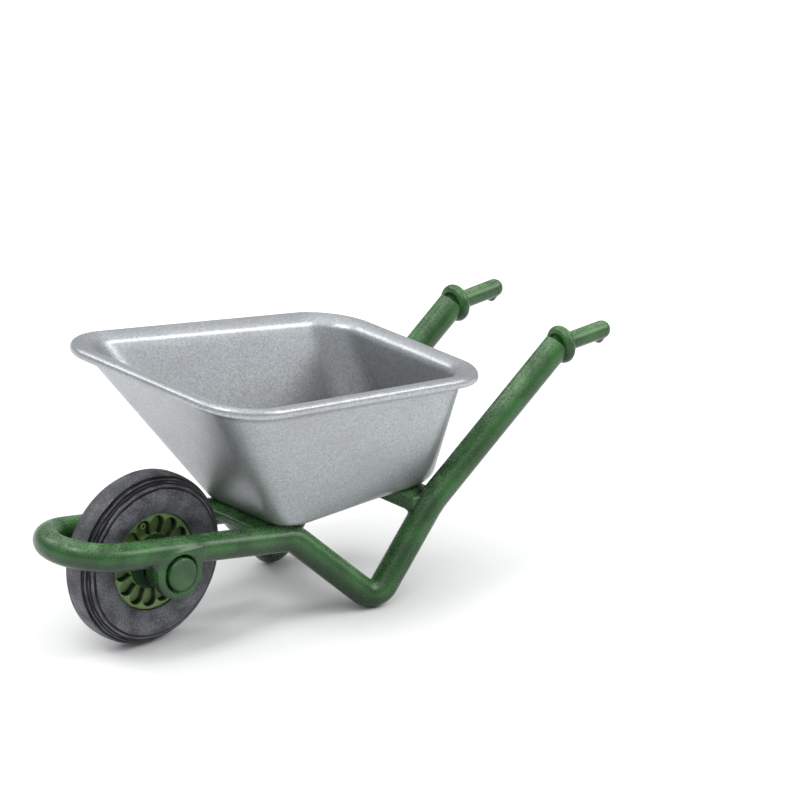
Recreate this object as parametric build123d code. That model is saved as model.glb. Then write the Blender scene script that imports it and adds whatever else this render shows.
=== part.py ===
"""Play-scale garden wheelbarrow: a pressed tub on a bent tube frame, with one spinning wheel.

Millimetres. +X points forward, to the wheel, +Y to the barrow's left and +Z up. The barrow stands on
z = 0 on its wheel and its two feet, and the origin is the middle of its bounding box, on the ground.
"""
import os
from math import cos, radians, sin, tan

from build123d import *

# Overall
LENGTH = 109.6  # front of the loop to the ends of the grips
LEFT, RIGHT = 1, -1

# Frame tube, as the centre line of the left side
TUBE_R = 2.36
LOOP_FRONT_X = LENGTH / 2 - TUBE_R  # the loop's centre line at the very front
RAIL_Y = 7.7  # half the distance between the two rails beside the wheel
AXLE_X = 34.9
RAIL_Z_AT_AXLE = 18.05
KNEE = Vector(10.1, 8.3, 14.3)  # rail turns down into the front leg
FOOT = Vector(-3.4, 13.45, 1.065)  # front and rear leg meet, before rounding
HIP = Vector(-15.55, 13.5, 15.7)  # rear leg turns into the handle
WRIST = Vector(-43.4, 13.6, 36.75)  # handle turns into the grip
LOOP_BEND, AXLE_BEND, KNEE_BEND, FOOT_BEND, HIP_BEND = 7.69, 60.0, 5.0, 2.9, 14.0

# Grips and collars
GRIP_R = 1.55
GRIP_END = Vector(-LENGTH / 2 + GRIP_R, 13.8, 37.4)  # centre of the round end
COLLAR_RING_R, COLLAR_ROLL_R = 2.25, 1.0  # ring's mean radius and the radius of its round section
COLLAR_FROM_WRIST = 0.9
GRIP_RISE = 0.25  # the grip's line runs this much above the handle's end
NUB_R, NUB_FROM_END, NUB_DROP = 0.85, 0.6, 0.7

# Wheel
WHEEL_R = 14.8
TYRE_SECTION_R = 4.03  # radius of the tyre's round section
TYRE_GROOVES = (34.0, 47.0, 60.0)  # degrees up the section from the middle of the tread
GROOVE_W, GROOVE_D = 0.34, 0.3
RIM_R, RIM_FACE_Y = 8.25, 2.76
RIM_RIDGE_R, RIM_RIDGE_HALF = 8.85, 0.8  # the ridge that holds the tyre
HUB_R, HUB_TIP_R, HUB_FACE_Y = 4.7, 3.8, 4.8
POCKETS, POCKET_DEPTH = 14, 1.0
POCKET_IN_R, POCKET_OUT_R, POCKET_RIB = 5.0, 7.65, 0.36
POCKET_TURN = 72.5  # degrees up from +X to the middle of the first pocket
VALVE_R, VALVE_AT_R = 0.5, 7.0  # the valve stands in the first pocket
BUSH_R = 1.6

# Axle
AXLE_R, AXLE_CLEARANCE = 0.85, 0.05
AXLE_HALF = 10.1
WASHER_R, WASHER_T = 2.2, 0.25
BRACKET_IN_Y, BRACKET_BARREL_R = 5.2, 3.7
BRACKET_DISC_Y, BRACKET_OUT_Y, BRACKET_R = 8.0, 10.25, 4.45
BRACKET_TOP_ABOVE_RAIL = 0.3
CAP_R, CAP_OUT_Y, CAP_SEAT_R, CAP_SEAT_DEPTH = 2.8, 10.85, 3.25, 0.8

# Tray: rim (outside of the lip) and floor (outside), each a trapezoid that is wider in front
RIM_FRONT, RIM_REAR = Vector(35.1, 25.5, 46.6), Vector(-24.2, 21.3, 38.75)
FLOOR_FRONT, FLOOR_REAR = Vector(14.1, 11.2, 17.1), Vector(-23.0, 10.4, 17.1)
LIP_H, LIP_OVERHANG, LIP_ROUND, LIP_UNDER_ROUND = 1.9, 2.6, 0.95, 0.5
SHOULDER_IN, SHOULDER_DROP = 3.4, 0.75  # the lip's top slopes inward to here
BEVEL_IN, BEVEL_DROP = 3.95, 1.5  # and turns down over this bevel to the inner wall
MOUTH_IN, MOUTH_LIFT = -0.15, 0.4  # the lip's slope, carried above its outer edge
WALL_T, FLOOR_T = 1.2, 1.6
RIM_CORNER, FLOOR_FRONT_CORNER, FLOOR_REAR_CORNER = 10.0, 4.5, 8.5
FLOOR_EDGE_ROUND, INSIDE_EDGE_ROUND = 2.6, 1.8

# Bearers under the tray, and the screws that come up through them
FRONT_BEARER_X, FRONT_BEARER_T = (7.2, 16.8), 1.6
REAR_BEARER_X, REAR_BEARER_T = (-17.6, -11.6), 2.5
SCREW_HEAD_R, SCREW_HEAD_H, SCREW_R, SCREW_BITE = 0.9, 0.5, 0.45, 1.0
SCREW_Y, FRONT_SCREW_X, REAR_SCREW_X = 4.5, 11.0, -14.9

# The frame's rails climb towards the front
RAIL_SLOPE = (RAIL_Z_AT_AXLE - KNEE.Z) / (AXLE_X - KNEE.X)
AXLE_CENTRE = Vector(AXLE_X, 0, WHEEL_R)


def sided(point, side):
    """The point on the left or the right side of the barrow."""
    return Vector(point.X, side * point.Y, point.Z)


def rail_point(x, y):
    """A point of the straight rail's centre line."""
    return Vector(x, y, KNEE.Z + RAIL_SLOPE * (x - KNEE.X))


def swept(path, radius):
    """A round bar along a path."""
    return sweep(Plane(path @ 0, z_dir=path % 0) * Circle(radius), path=path)


def turned(profile):
    """A solid of revolution about the axle, from a profile in local (radius, y)."""
    plane = Plane(AXLE_CENTRE, x_dir=(0, 0, 1), z_dir=(-1, 0, 0))
    return revolve(plane * profile, Axis(AXLE_CENTRE, (0, 1, 0)))


def axle_disc(radius, y_from, y_to, x=AXLE_X, z=WHEEL_R):
    """A cylinder parallel to the axle, between two places across the barrow."""
    low, high = min(y_from, y_to), max(y_from, y_to)
    plane = Plane((x, low, z), x_dir=(1, 0, 0), z_dir=(0, 1, 0))
    return extrude(plane * Circle(radius), high - low)


# ---------------------------------------------------------------- frame

def side_path(side):
    """One side's centre line, from the middle of the front loop to the collar."""
    corners = [
        rail_point(LOOP_FRONT_X, 0),
        rail_point(LOOP_FRONT_X, RAIL_Y),
        rail_point(AXLE_X, RAIL_Y),
        KNEE,
        FOOT,
        HIP,
        WRIST,
    ]
    bends = [LOOP_BEND, AXLE_BEND, KNEE_BEND, FOOT_BEND, HIP_BEND]
    return FilletPolyline(*[sided(point, side) for point in corners], radius=bends)


def side_tubes(side):
    """One side's tubes: its half of the loop, the rail with its front leg, and the rear leg with handle."""
    member = swept(side_path(side), TUBE_R) - cap_seat(side)
    at_bracket = Plane(AXLE_CENTRE, z_dir=(1, 0, 0))
    loop_half = split(member, at_bracket, keep=Keep.TOP)
    behind = split(member, at_bracket, keep=Keep.BOTTOM)
    to_front = (sided(KNEE, side) - sided(FOOT, side)).normalized()
    to_rear = (sided(HIP, side) - sided(FOOT, side)).normalized()
    at_foot = Plane(sided(FOOT, side), z_dir=to_front - to_rear)
    rail = split(behind, at_foot, keep=Keep.TOP)
    handle = split(behind, at_foot, keep=Keep.BOTTOM)
    return loop_half, rail, handle


def grip_line(side):
    """Where the grip's line leaves the handle, and its direction."""
    start = sided(WRIST, side) + Vector(0, 0, GRIP_RISE)
    return start, (sided(GRIP_END, side) - start).normalized()


def collar(side):
    """The ring round the handle's end, hollowed for the tube and the grip."""
    start, along = grip_line(side)
    place = Plane(sided(WRIST, side) + along * COLLAR_FROM_WRIST, z_dir=along)
    ring = place * Torus(COLLAR_RING_R, COLLAR_ROLL_R)
    core = place * Cylinder(COLLAR_RING_R, 2 * COLLAR_ROLL_R)
    return ring + core - swept(side_path(side), TUBE_R) - grip(side)


def grip(side):
    """The slim round-ended rod behind the collar, with the small stop under its end."""
    start, along = grip_line(side)
    end = sided(GRIP_END, side)
    root = start + along * COLLAR_FROM_WRIST
    align = (Align.CENTER, Align.CENTER, Align.MIN)
    rod = Plane(root, z_dir=along) * Cylinder(GRIP_R, (end - root).length, align=align)
    nub_at = end - along * NUB_FROM_END - Vector(0, 0, GRIP_R - NUB_R + NUB_DROP)
    rod += Pos(*end) * Sphere(GRIP_R) + Pos(*nub_at) * Sphere(NUB_R)
    return rod - swept(side_path(side), TUBE_R)


# ---------------------------------------------------------------- wheel

def tyre():
    """A round-section tyre with grooves near both shoulders, on the rim's ridged seat."""
    section_at = WHEEL_R - TYRE_SECTION_R
    section = Pos(section_at, 0) * Circle(TYRE_SECTION_R)
    section -= Pos(RIM_R / 2, 0) * Rectangle(RIM_R, 4 * TYRE_SECTION_R)
    section -= Pos(RIM_RIDGE_R / 2, 0) * Rectangle(RIM_RIDGE_R, 2 * RIM_RIDGE_HALF)
    for angle in TYRE_GROOVES:
        for turn in (angle, -angle):
            reach = TYRE_SECTION_R - GROOVE_D / 2
            groove_at = Pos(section_at + reach * cos(radians(turn)), reach * sin(radians(turn)))
            section -= groove_at * Rot(0, 0, turn) * Rectangle(GROOVE_D * 2, GROOVE_W)
    return turned(section)


def pocket(index, side):
    """One petal-shaped pocket of the rim's face, with a round outer end."""
    pitch = 360 / POCKETS
    inner_half = POCKET_IN_R * tan(radians(pitch / 2)) - POCKET_RIB / 2
    outer_at = POCKET_OUT_R - (POCKET_OUT_R * tan(radians(pitch / 2)) - POCKET_RIB / 2) * 0.8
    outer_half = outer_at * tan(radians(pitch / 2)) - POCKET_RIB / 2
    inner = Pos(POCKET_IN_R, 0) * Circle(inner_half)
    outer = Pos(outer_at, 0) * Circle(outer_half)
    petal = make_hull((inner + outer).edges())
    floor_y = RIM_FACE_Y - POCKET_DEPTH
    face = Plane((AXLE_X, side * floor_y, WHEEL_R), x_dir=(1, 0, 0), z_dir=(0, side, 0))
    turn = -side * (POCKET_TURN + index * pitch)
    return extrude(face * Rot(0, 0, turn) * petal, POCKET_DEPTH + 1)


def rim_half(side):
    """Half of the rim: seat for the tyre, pocketed face and a tapered hub boss."""
    outline = Polyline(
        (BUSH_R, 0),
        (RIM_RIDGE_R, 0),
        (RIM_RIDGE_R, side * RIM_RIDGE_HALF),
        (RIM_R, side * RIM_RIDGE_HALF),
        (RIM_R, side * RIM_FACE_Y),
        (HUB_R, side * RIM_FACE_Y),
        (HUB_TIP_R, side * HUB_FACE_Y),
        (BUSH_R, side * HUB_FACE_Y),
        close=True,
    )
    half = turned(make_face(outline))
    for index in range(POCKETS):
        half -= pocket(index, side)
    return half


def valve_place():
    """Middle of the valve on the left rim's face, in the (x, z) plane."""
    angle = radians(POCKET_TURN)
    return AXLE_X + VALVE_AT_R * cos(angle), WHEEL_R + VALVE_AT_R * sin(angle)


def valve():
    """The short valve stub that stands in one pocket of the left rim half."""
    x, z = valve_place()
    floor_y = RIM_FACE_Y - POCKET_DEPTH
    stub = axle_disc(VALVE_R, floor_y, RIM_FACE_Y + 0.25, x, z)
    return stub - axle_disc(VALVE_R * 0.5, RIM_FACE_Y - 0.1, RIM_FACE_Y + 0.3, x, z)


def hub_bush():
    """The sleeve pressed through both rim halves, running on the axle."""
    return axle_disc(BUSH_R, -HUB_FACE_Y, HUB_FACE_Y) - axle_disc(
        AXLE_R + AXLE_CLEARANCE, -AXLE_HALF, AXLE_HALF
    )


# ---------------------------------------------------------------- axle and brackets

def axle():
    """The fixed pin that the wheel turns on."""
    return axle_disc(AXLE_R, -AXLE_HALF, AXLE_HALF)


def axle_washers():
    """A washer on the inner face of each bracket."""
    washers = []
    for side in (LEFT, RIGHT):
        ring = axle_disc(WASHER_R, side * (BRACKET_IN_Y - WASHER_T), side * BRACKET_IN_Y)
        washers.append(ring - axle())
    return Compound(children=washers)


def axle_bracket(side, tubes):
    """The ear under a rail that holds the axle's end, hollowed to fit the tube."""
    barrel = axle_disc(BRACKET_BARREL_R, side * BRACKET_IN_Y, side * BRACKET_DISC_Y)
    disc = axle_disc(BRACKET_R, side * BRACKET_DISC_Y, side * BRACKET_OUT_Y)
    top = RAIL_Z_AT_AXLE + BRACKET_TOP_ABOVE_RAIL
    web_height = top - WHEEL_R
    web_plane = Plane((AXLE_X, side * RAIL_Y, WHEEL_R), x_dir=(1, 0, 0), z_dir=(0, side, 0))
    web_shape = Pos(0, -side * web_height / 2) * Rectangle(2 * BRACKET_R, web_height)
    web = extrude(web_plane * web_shape, BRACKET_OUT_Y - RAIL_Y)
    ear = barrel + (disc + web) - cap_seat(side) - axle()
    for tube in tubes:
        ear -= tube
    return max(ear.solids(), key=lambda solid: solid.volume)


def cap_seat(side):
    """The counterbore in a bracket's outer face."""
    return axle_disc(CAP_SEAT_R, side * (BRACKET_OUT_Y - CAP_SEAT_DEPTH), side * (BRACKET_OUT_Y + 1))


def axle_cap(side):
    """The round cap pressed on the axle's end, in the bracket's counterbore."""
    inner_y = BRACKET_OUT_Y - CAP_SEAT_DEPTH
    cap = axle_disc(CAP_R, side * inner_y, side * CAP_OUT_Y)
    cap = fillet(cap.edges().group_by(Axis.Y)[-1 if side > 0 else 0], 0.25)
    return cap - axle()


# ---------------------------------------------------------------- tray

def slope_plane(front, rear):
    """The plane through two points of a trapezoid, its x running forward along the slope."""
    along = Vector(front.X - rear.X, 0, front.Z - rear.Z).normalized()
    origin = Vector((front.X + rear.X) / 2, 0, (front.Z + rear.Z) / 2)
    return Plane(origin, x_dir=along, z_dir=Vector(-along.Z, 0, along.X))


def trapezoid(front, rear, inset, corners, lift=0.0):
    """A trapezoid between two points, pulled in by an inset and lifted off its plane.

    The two corners are the front and the rear corner radius, before the inset.
    """
    half_length = Vector(front.X - rear.X, 0, front.Z - rear.Z).length / 2 - inset
    front_y, rear_y = front.Y - inset, rear.Y - inset
    shape = make_face(
        Polyline(
            (half_length, front_y),
            (-half_length, rear_y),
            (-half_length, -rear_y),
            (half_length, -front_y),
            close=True,
        )
    )
    rear_side, front_side = shape.vertices().group_by(Axis.X)
    shape = fillet(front_side, corners[0] - inset)
    rear_side = shape.vertices().group_by(Axis.X)[0]
    shape = fillet(rear_side, corners[1] - inset)
    return slope_plane(front, rear).offset(lift) * shape


def rim_outline(inset, lift):
    """The tray's outline at the lip."""
    return trapezoid(RIM_FRONT, RIM_REAR, inset, (RIM_CORNER, RIM_CORNER), lift)


def end_faces(solid, front, rear):
    """The lowest and highest face of a solid, measured square to a trapezoid's plane."""
    normal = slope_plane(front, rear).z_dir
    faces = solid.faces().sort_by(Axis((0, 0, 0), normal))
    return faces[0], faces[-1]


def lip():
    """The rolled edge round the rim, still solid across the mouth."""
    slab = extrude(rim_outline(0, -LIP_H), LIP_H)
    slab = fillet(end_faces(slab, RIM_FRONT, RIM_REAR)[1].edges(), LIP_ROUND)
    return fillet(end_faces(slab, RIM_FRONT, RIM_REAR)[0].edges(), LIP_UNDER_ROUND)


def tub(inset, floor_lift, edge_round, top_outline):
    """A tapered body from a rounded floor up to an outline at the rim."""
    corners = (FLOOR_FRONT_CORNER, FLOOR_REAR_CORNER)
    floor = trapezoid(FLOOR_FRONT, FLOOR_REAR, inset, corners, floor_lift)
    body = loft([floor, top_outline])
    return fillet(end_faces(body, FLOOR_FRONT, FLOOR_REAR)[0].edges(), edge_round)


def tray_hollow():
    """The space inside the tub: the lip's gentle inward slope over a deep tapered well."""
    mouth = rim_outline(MOUTH_IN, MOUTH_LIFT)
    shoulder = rim_outline(SHOULDER_IN, -SHOULDER_DROP)
    bevel = rim_outline(BEVEL_IN, -BEVEL_DROP)
    well = tub(WALL_T, FLOOR_T, INSIDE_EDGE_ROUND, bevel)
    return well + loft([bevel, shoulder]) + loft([shoulder, mouth])


def tray():
    """The tub: tapered walls, a rolled lip that slopes inward, and rounded edges."""
    outside = tub(0, 0, FLOOR_EDGE_ROUND, rim_outline(LIP_OVERHANG, -LIP_H))
    return outside + lip() - tray_hollow()


# ---------------------------------------------------------------- bearers and screws

def bearer(x_range, thickness, half_width, tubes, screws):
    """A flat cross-member under the tray floor, hollowed to fit the tubes beside it."""
    length = x_range[1] - x_range[0]
    centre = Vector(sum(x_range) / 2, 0, FLOOR_FRONT.Z - thickness / 2)
    plate = Pos(*centre) * Box(length, 2 * half_width, thickness)
    for tube in tubes:
        plate -= tube
    return max(plate.solids(), key=lambda solid: solid.volume) - screws


def screw_pair(x, bearer_t):
    """Two pan-head screws that hold the tray down on a bearer, driven from below."""
    screws = []
    for side in (LEFT, RIGHT):
        under = Pos(x, side * SCREW_Y, FLOOR_FRONT.Z - bearer_t)
        low = (Align.CENTER, Align.CENTER, Align.MIN)
        high = (Align.CENTER, Align.CENTER, Align.MAX)
        shank = under * Cylinder(SCREW_R, bearer_t + SCREW_BITE, align=low)
        head = under * Cylinder(SCREW_HEAD_R, SCREW_HEAD_H, align=high)
        slot = under * Pos(0, 0, -SCREW_HEAD_H) * Box(2 * SCREW_HEAD_R, 0.25, 0.5)
        screws.append(shank + head - slot)
    return Compound(children=screws)


# ---------------------------------------------------------------- run

def main():
    os.makedirs("parts", exist_ok=True)
    loops, nodes = [], {}
    for side, name in ((LEFT, "left"), (RIGHT, "right")):
        loop_half, rail, handle = side_tubes(side)
        loops.append(loop_half)
        nodes[f"side_tube_{name}"] = rail
        nodes[f"handle_tube_{name}"] = handle
        nodes[f"collar_{name}"] = collar(side)
        nodes[f"grip_{name}"] = grip(side)
        nodes[f"axle_bracket_{name}"] = axle_bracket(side, (loop_half, rail))
        nodes[f"axle_cap_{name}"] = axle_cap(side)
        nodes[f"rim_{name}"] = rim_half(side)
    nodes["front_loop"] = loops[0] + loops[1]
    nodes["tyre"] = tyre()
    nodes["valve_stem"] = valve()
    nodes["hub_bush"] = hub_bush()
    nodes["axle_pin"] = axle()
    nodes["axle_washers"] = axle_washers()
    front_screws = screw_pair(FRONT_SCREW_X, FRONT_BEARER_T)
    rear_screws = screw_pair(REAR_SCREW_X, REAR_BEARER_T)
    rails = [nodes["side_tube_left"], nodes["side_tube_right"]]
    handles = [nodes["handle_tube_left"], nodes["handle_tube_right"]]
    nodes["front_bearer"] = bearer(FRONT_BEARER_X, FRONT_BEARER_T, RAIL_Y + 0.6, rails, front_screws)
    nodes["rear_bearer"] = bearer(REAR_BEARER_X, REAR_BEARER_T, HIP.Y, handles, rear_screws)
    nodes["tray_screws_front"] = front_screws
    nodes["tray_screws_rear"] = rear_screws
    nodes["tray"] = tray() - front_screws - rear_screws
    for name, shape in nodes.items():
        shape.label = name
        export_step(shape, f"parts/{name}.step")


main()
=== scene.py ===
"""Looks of a play-scale garden wheelbarrow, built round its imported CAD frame.

Sizes are millimetres in the barrow's own frame: +X forward to the wheel, +Y to the barrow's left
and +Z up. Meshes are made in millimetres and turned into metres by as_object.
"""
import math

import bmesh
import bpy
import numpy as np
from mathutils import Matrix, Vector


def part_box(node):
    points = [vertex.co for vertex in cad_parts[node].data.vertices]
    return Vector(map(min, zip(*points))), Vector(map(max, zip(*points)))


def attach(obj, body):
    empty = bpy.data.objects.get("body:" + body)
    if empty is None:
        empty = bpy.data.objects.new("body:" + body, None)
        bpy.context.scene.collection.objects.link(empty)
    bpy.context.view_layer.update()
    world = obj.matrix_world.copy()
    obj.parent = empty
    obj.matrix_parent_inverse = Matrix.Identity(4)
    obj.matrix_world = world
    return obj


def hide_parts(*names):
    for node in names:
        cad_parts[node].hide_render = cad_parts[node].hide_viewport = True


MM = 0.001

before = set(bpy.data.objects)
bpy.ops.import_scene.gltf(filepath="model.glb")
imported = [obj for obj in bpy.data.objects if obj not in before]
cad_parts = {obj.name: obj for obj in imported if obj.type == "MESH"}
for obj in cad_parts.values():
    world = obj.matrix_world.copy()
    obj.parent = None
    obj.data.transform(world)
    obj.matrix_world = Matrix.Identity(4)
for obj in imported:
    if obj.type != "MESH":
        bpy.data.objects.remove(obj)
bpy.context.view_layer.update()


def box_mm(node):
    """Lowest and highest corner of a CAD node, in millimetres."""
    return tuple(np.array(corner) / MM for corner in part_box(node))


# ---------------------------------------------------------------- sizes

TYRE_LOW, TYRE_HIGH = box_mm("tyre")
AXLE = (TYRE_LOW + TYRE_HIGH) / 2
WHEEL_R = (TYRE_HIGH[2] - TYRE_LOW[2]) / 2

# Frame tube and its centre line on the left side
TUBE_R = 2.36
LOOP_FRONT_X = box_mm("front_loop")[1][0] - TUBE_R
RAIL_Y = 7.7
RAIL_Z_AT_AXLE = 18.05
KNEE = (10.1, 8.3, 14.3)
FOOT = (-3.4, 13.45, 1.065)
HIP = (-15.55, 13.5, 15.7)
WRIST = (-43.4, 13.6, 36.75)
LOOP_BEND, AXLE_BEND, KNEE_BEND, FOOT_BEND, HIP_BEND = 7.69, 60.0, 5.0, 2.9, 14.0
BEND_STEP = math.radians(5)

# Ears that carry the axle
EAR_R, EAR_IN_Y, EAR_OUT_Y, EAR_EDGE = 4.45, 8.0, 10.25, 0.35
BARREL_R, BARREL_IN_Y = 3.7, 5.2
SEAT_R, SEAT_DEPTH = 3.25, 0.8
CAP_R, CAP_IN_Y, CAP_OUT_Y, CAP_BEVEL = 2.8, EAR_OUT_Y - SEAT_DEPTH, 10.85, 0.26
CAP_SHADE_FROM, CAP_SHADE_OVER = 0.5, 0.4  # how deep the cap's painted shade starts, and over what depth it grows
EAR_BLEND, BEARER_BLEND = 1.1, 0.9  # how far the casting fills the inner corners
BARREL_EDGE, BARREL_BLEND = 0.2, 0.1
SEAT_EDGE, SEAT_LIP_EDGE = 0.1, 0.2
EAR_LEAN_FROM, EAR_LEAN = 15.6, 0.17  # above here the ear's outer face leans in, into the tube
FRAME_CELL, GRIP_CELL = 0.27, 0.14  # cell sizes of the fused castings
# Painted shade, with dark paint settled in it, lies where the casting stands off the sharp shapes
# by these distances
CREASE_FILL, FRAME_CREASE, GRIP_CREASE = 0.05, 0.16, 0.1

# Bearers under the tray
FRONT_BEARER_X, FRONT_BEARER_Z, FRONT_BEARER_Y = (7.2, 16.8), (15.5, 17.1), 8.3
REAR_BEARER_X, REAR_BEARER_Z, REAR_BEARER_Y = (-17.6, -11.6), (14.6, 17.1), 13.5
BEARER_EDGE = 0.3
BEARER_BOXES = [
    ((x[0], -y, z[0]), (x[1], y, z[1]))
    for x, y, z in (
        (FRONT_BEARER_X, FRONT_BEARER_Y, FRONT_BEARER_Z),
        (REAR_BEARER_X, REAR_BEARER_Y, REAR_BEARER_Z),
    )
]

# Grips
GRIP_R, GRIP_RISE = 1.55, 0.25
GRIP_END = (box_mm("grip_left")[0][0] + GRIP_R, 13.8, 37.4)
RING_R, RING_ROLL_R, RING_FROM_WRIST, RING_BLEND = 2.25, 1.0, 0.9, 0.35
NUB_R, NUB_FROM_END, NUB_DROP, NUB_BLEND = 0.85, 0.6, 0.7, 0.5

# Tyre and rim
TYRE_SECTION_R = 4.03
TYRE_SEAT_R = 8.3
# Each groove's place in degrees from the middle of the tread, its width and its depth
TYRE_GROOVES = ((32.5, 0.56, 0.4), (43.0, 0.4, 0.3), (50.0, 0.34, 0.26), (62.0, 0.36, 0.26))
# How far the grooves wander (radians), how much their depth varies, and the bite at which a
# groove's painted shade is full
GROOVE_WANDER, GROOVE_UNEVEN, GROOVE_SHADE_BITE = 0.0045, 0.12, 0.2
TREAD_FLAT, TREAD_REACH = 0.22, 17  # how far the tread is flattened, and over how many degrees
RIM_R, RIM_FACE_Y, RIM_EDGE = 8.25, 2.76, 0.25
HUB_R, HUB_TIP_R, HUB_FACE_Y, BUSH_R = 4.7, 3.8, 4.8, 1.62
BEAD_IN_R, BEAD_H = 7.9, 0.12  # raised bead round the rim's edge
POCKET_WALL = 0.1  # width of the step at a pocket's edge
POCKET_LARGE = 0.8  # how far the pocket's large end is rounded, 1 being a full round
# Painted shade on the pockets' walls and floors, where black paint has also run, and painted shade
# at the hub's end
WALL_SHADE_AND_WASH_W, FLOOR_SHADE_AND_WASH, TIP_SHADE_W = 0.17, 0.32, 0.35
POCKETS, POCKET_DEPTH, POCKET_TURN = 14, 1.0, 72.5
POCKET_IN_R, POCKET_OUT_R, POCKET_RIB = 5.0, 7.7, 0.2
VALVE_R, VALVE_AT_R = 0.5, 7.0

# Tray, as trapezoids at the rim and at the floor
RIM_FRONT, RIM_REAR = (35.1, 25.5, 46.6), (-24.2, 21.3, 38.75)
FLOOR_FRONT, FLOOR_REAR = (14.1, 11.2, 17.1), (-23.0, 10.4, 17.1)
RIM_CORNERS, FLOOR_CORNERS = (10.0, 10.0), (4.5, 8.5)
LIP_H, LIP_OVERHANG = 1.9, 2.6
SHOULDER_IN, SHOULDER_DROP = 3.8, 0.85
WALL_T, FLOOR_T = 1.2, 1.6
# Bend radii from the outer floor to the inner floor, and how much painted shade lies on folds and
# walls, under the lip and darker down the inner wall: whole numbers are folds, halves are the walls
# before them
TRAY_BENDS = (0, 2.6, 0.4, 0.6, 0.92, 1.9, 1.8, 0)
TRAY_SHADES = {2: 1.0, 6: 0.55, 6.5: 0.5, 7: 0.5}
INNER_WALL, INNER_SHADE_TOP, INNER_SHADE_GAIN, INNER_SHADE_POWER = 5.5, 0.02, 0.5, 1.5


# ---------------------------------------------------------------- meshes

def as_object(name, verts, faces, shade_and_wash_levels=None):
    """A smooth-shaded mesh object from millimetres, with how much painted shade, and in places dark
    paint settled in hollows, lies on each vertex.
    """
    mesh = bpy.data.meshes.new(name)
    mesh.from_pydata((np.asarray(verts) * MM).tolist(), [], faces)
    mesh.shade_smooth()
    if shade_and_wash_levels is not None:
        layer = mesh.attributes.new("shade_and_wash", "FLOAT", "POINT")
        layer.data.foreach_set("value", np.asarray(shade_and_wash_levels, dtype=np.float32))
    return linked(name, mesh)


def face_outwards(thing):
    """Merges doubles and turns every face outwards."""
    work = bmesh.new()
    work.from_mesh(thing.data)
    bmesh.ops.remove_doubles(work, verts=work.verts, dist=0.0005 * MM)
    bmesh.ops.recalc_face_normals(work, faces=work.faces)
    work.to_mesh(thing.data)
    work.free()
    return thing


def ring_round_axle(radius, y, angles):
    """Points round the Y axis, at a radius from it and a place along it."""
    return np.column_stack(
        [radius * np.cos(angles), y * np.ones(len(angles)), radius * np.sin(angles)]
    )


def swing(first, last, share, turn):
    """The spoke that has swung a share of a turn from the first spoke to the last."""
    return (first * np.sin((1 - share) * turn) + last * np.sin(share * turn)) / np.sin(turn)


def skin(rings, loop_rings=False, end_caps=False):
    """Faces between closed rings of points; the rings may themselves close into a loop."""
    count, around = len(rings), len(rings[0])
    faces = []
    for i in range(count if loop_rings else count - 1):
        here, there = i * around, (i + 1) % count * around
        for j in range(around):
            k = (j + 1) % around
            faces.append((here + j, here + k, there + k, there + j))
    if end_caps:
        faces.append(tuple(range(around - 1, -1, -1)))
        last = (count - 1) * around
        faces.append(tuple(range(last, last + around)))
    return faces


def linked(name, data):
    """A new object with its data, put into the scene."""
    thing = bpy.data.objects.new(name, data)
    bpy.context.collection.objects.link(thing)
    return thing


def seen_mesh(thing):
    """The mesh that an object's modifiers give."""
    seen = thing.evaluated_get(bpy.context.evaluated_depsgraph_get())
    return bpy.data.meshes.new_from_object(seen)


def plain_mesh(thing):
    """Turns an object's live modifiers into a plain mesh."""
    old, thing.data = thing.data, seen_mesh(thing)
    thing.modifiers.clear()
    bpy.data.meshes.remove(old)
    return thing


def unit(vectors):
    return vectors / np.linalg.norm(vectors, axis=-1, keepdims=True)


# ---------------------------------------------------------------- distance fields

def rounded_path(corners, bends):
    """Points of a line through corners, with each inner corner bent to its radius."""
    corners = [np.array(corner, dtype=float) for corner in corners]
    points = [corners[0]]
    for before, corner, after, bend in zip(corners, corners[1:], corners[2:], bends):
        back, on = unit(before - corner), unit(after - corner)
        half = math.acos(np.clip(back @ on, -1, 1)) / 2
        centre = corner + unit(back + on) * bend / math.sin(half)
        reach = bend / math.tan(half)
        first, last = corner + back * reach - centre, corner + on * reach - centre
        turn = math.pi - 2 * half
        steps = max(2, math.ceil(turn / BEND_STEP))
        points.extend(centre + swing(first, last, i / steps, turn) for i in range(steps + 1))
    points.append(corners[-1])
    return np.array(points)


def to_segment(points, start, end):
    """Distance of each point to a straight segment."""
    along = end - start
    share = np.clip((points - start) @ along / (along @ along), 0, 1)
    return np.linalg.norm(points - start - share[:, None] * along, axis=1)


def to_path(points, path):
    return np.min([to_segment(points, a, b) for a, b in zip(path, path[1:])], axis=0)


def to_box(points, low, high, edge):
    """Signed distance to a box with rounded edges."""
    centre, half = (np.array(high) + low) / 2, (np.array(high) - low) / 2 - edge
    over = np.abs(points - centre) - half
    return np.linalg.norm(np.maximum(over, 0), axis=1) + np.minimum(over.max(axis=1), 0) - edge


def to_slab(flat, across, low, high, edge):
    """Signed distance to an outline that is extruded across the barrow, with rounded edges."""
    over = np.stack([flat + edge, np.abs(across - (low + high) / 2) - (high - low) / 2 + edge])
    return np.linalg.norm(np.maximum(over, 0), axis=0) + np.minimum(over.max(axis=0), 0) - edge


def merge(a, b, blend):
    """Smooth union of two distance fields."""
    share = np.clip(0.5 + 0.5 * (b - a) / blend, 0, 1)
    return b * (1 - share) + a * share - blend * share * (1 - share)


def cut(a, b, blend):
    """Takes b away from a, with a soft edge."""
    return -merge(-a, b, blend)


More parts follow.
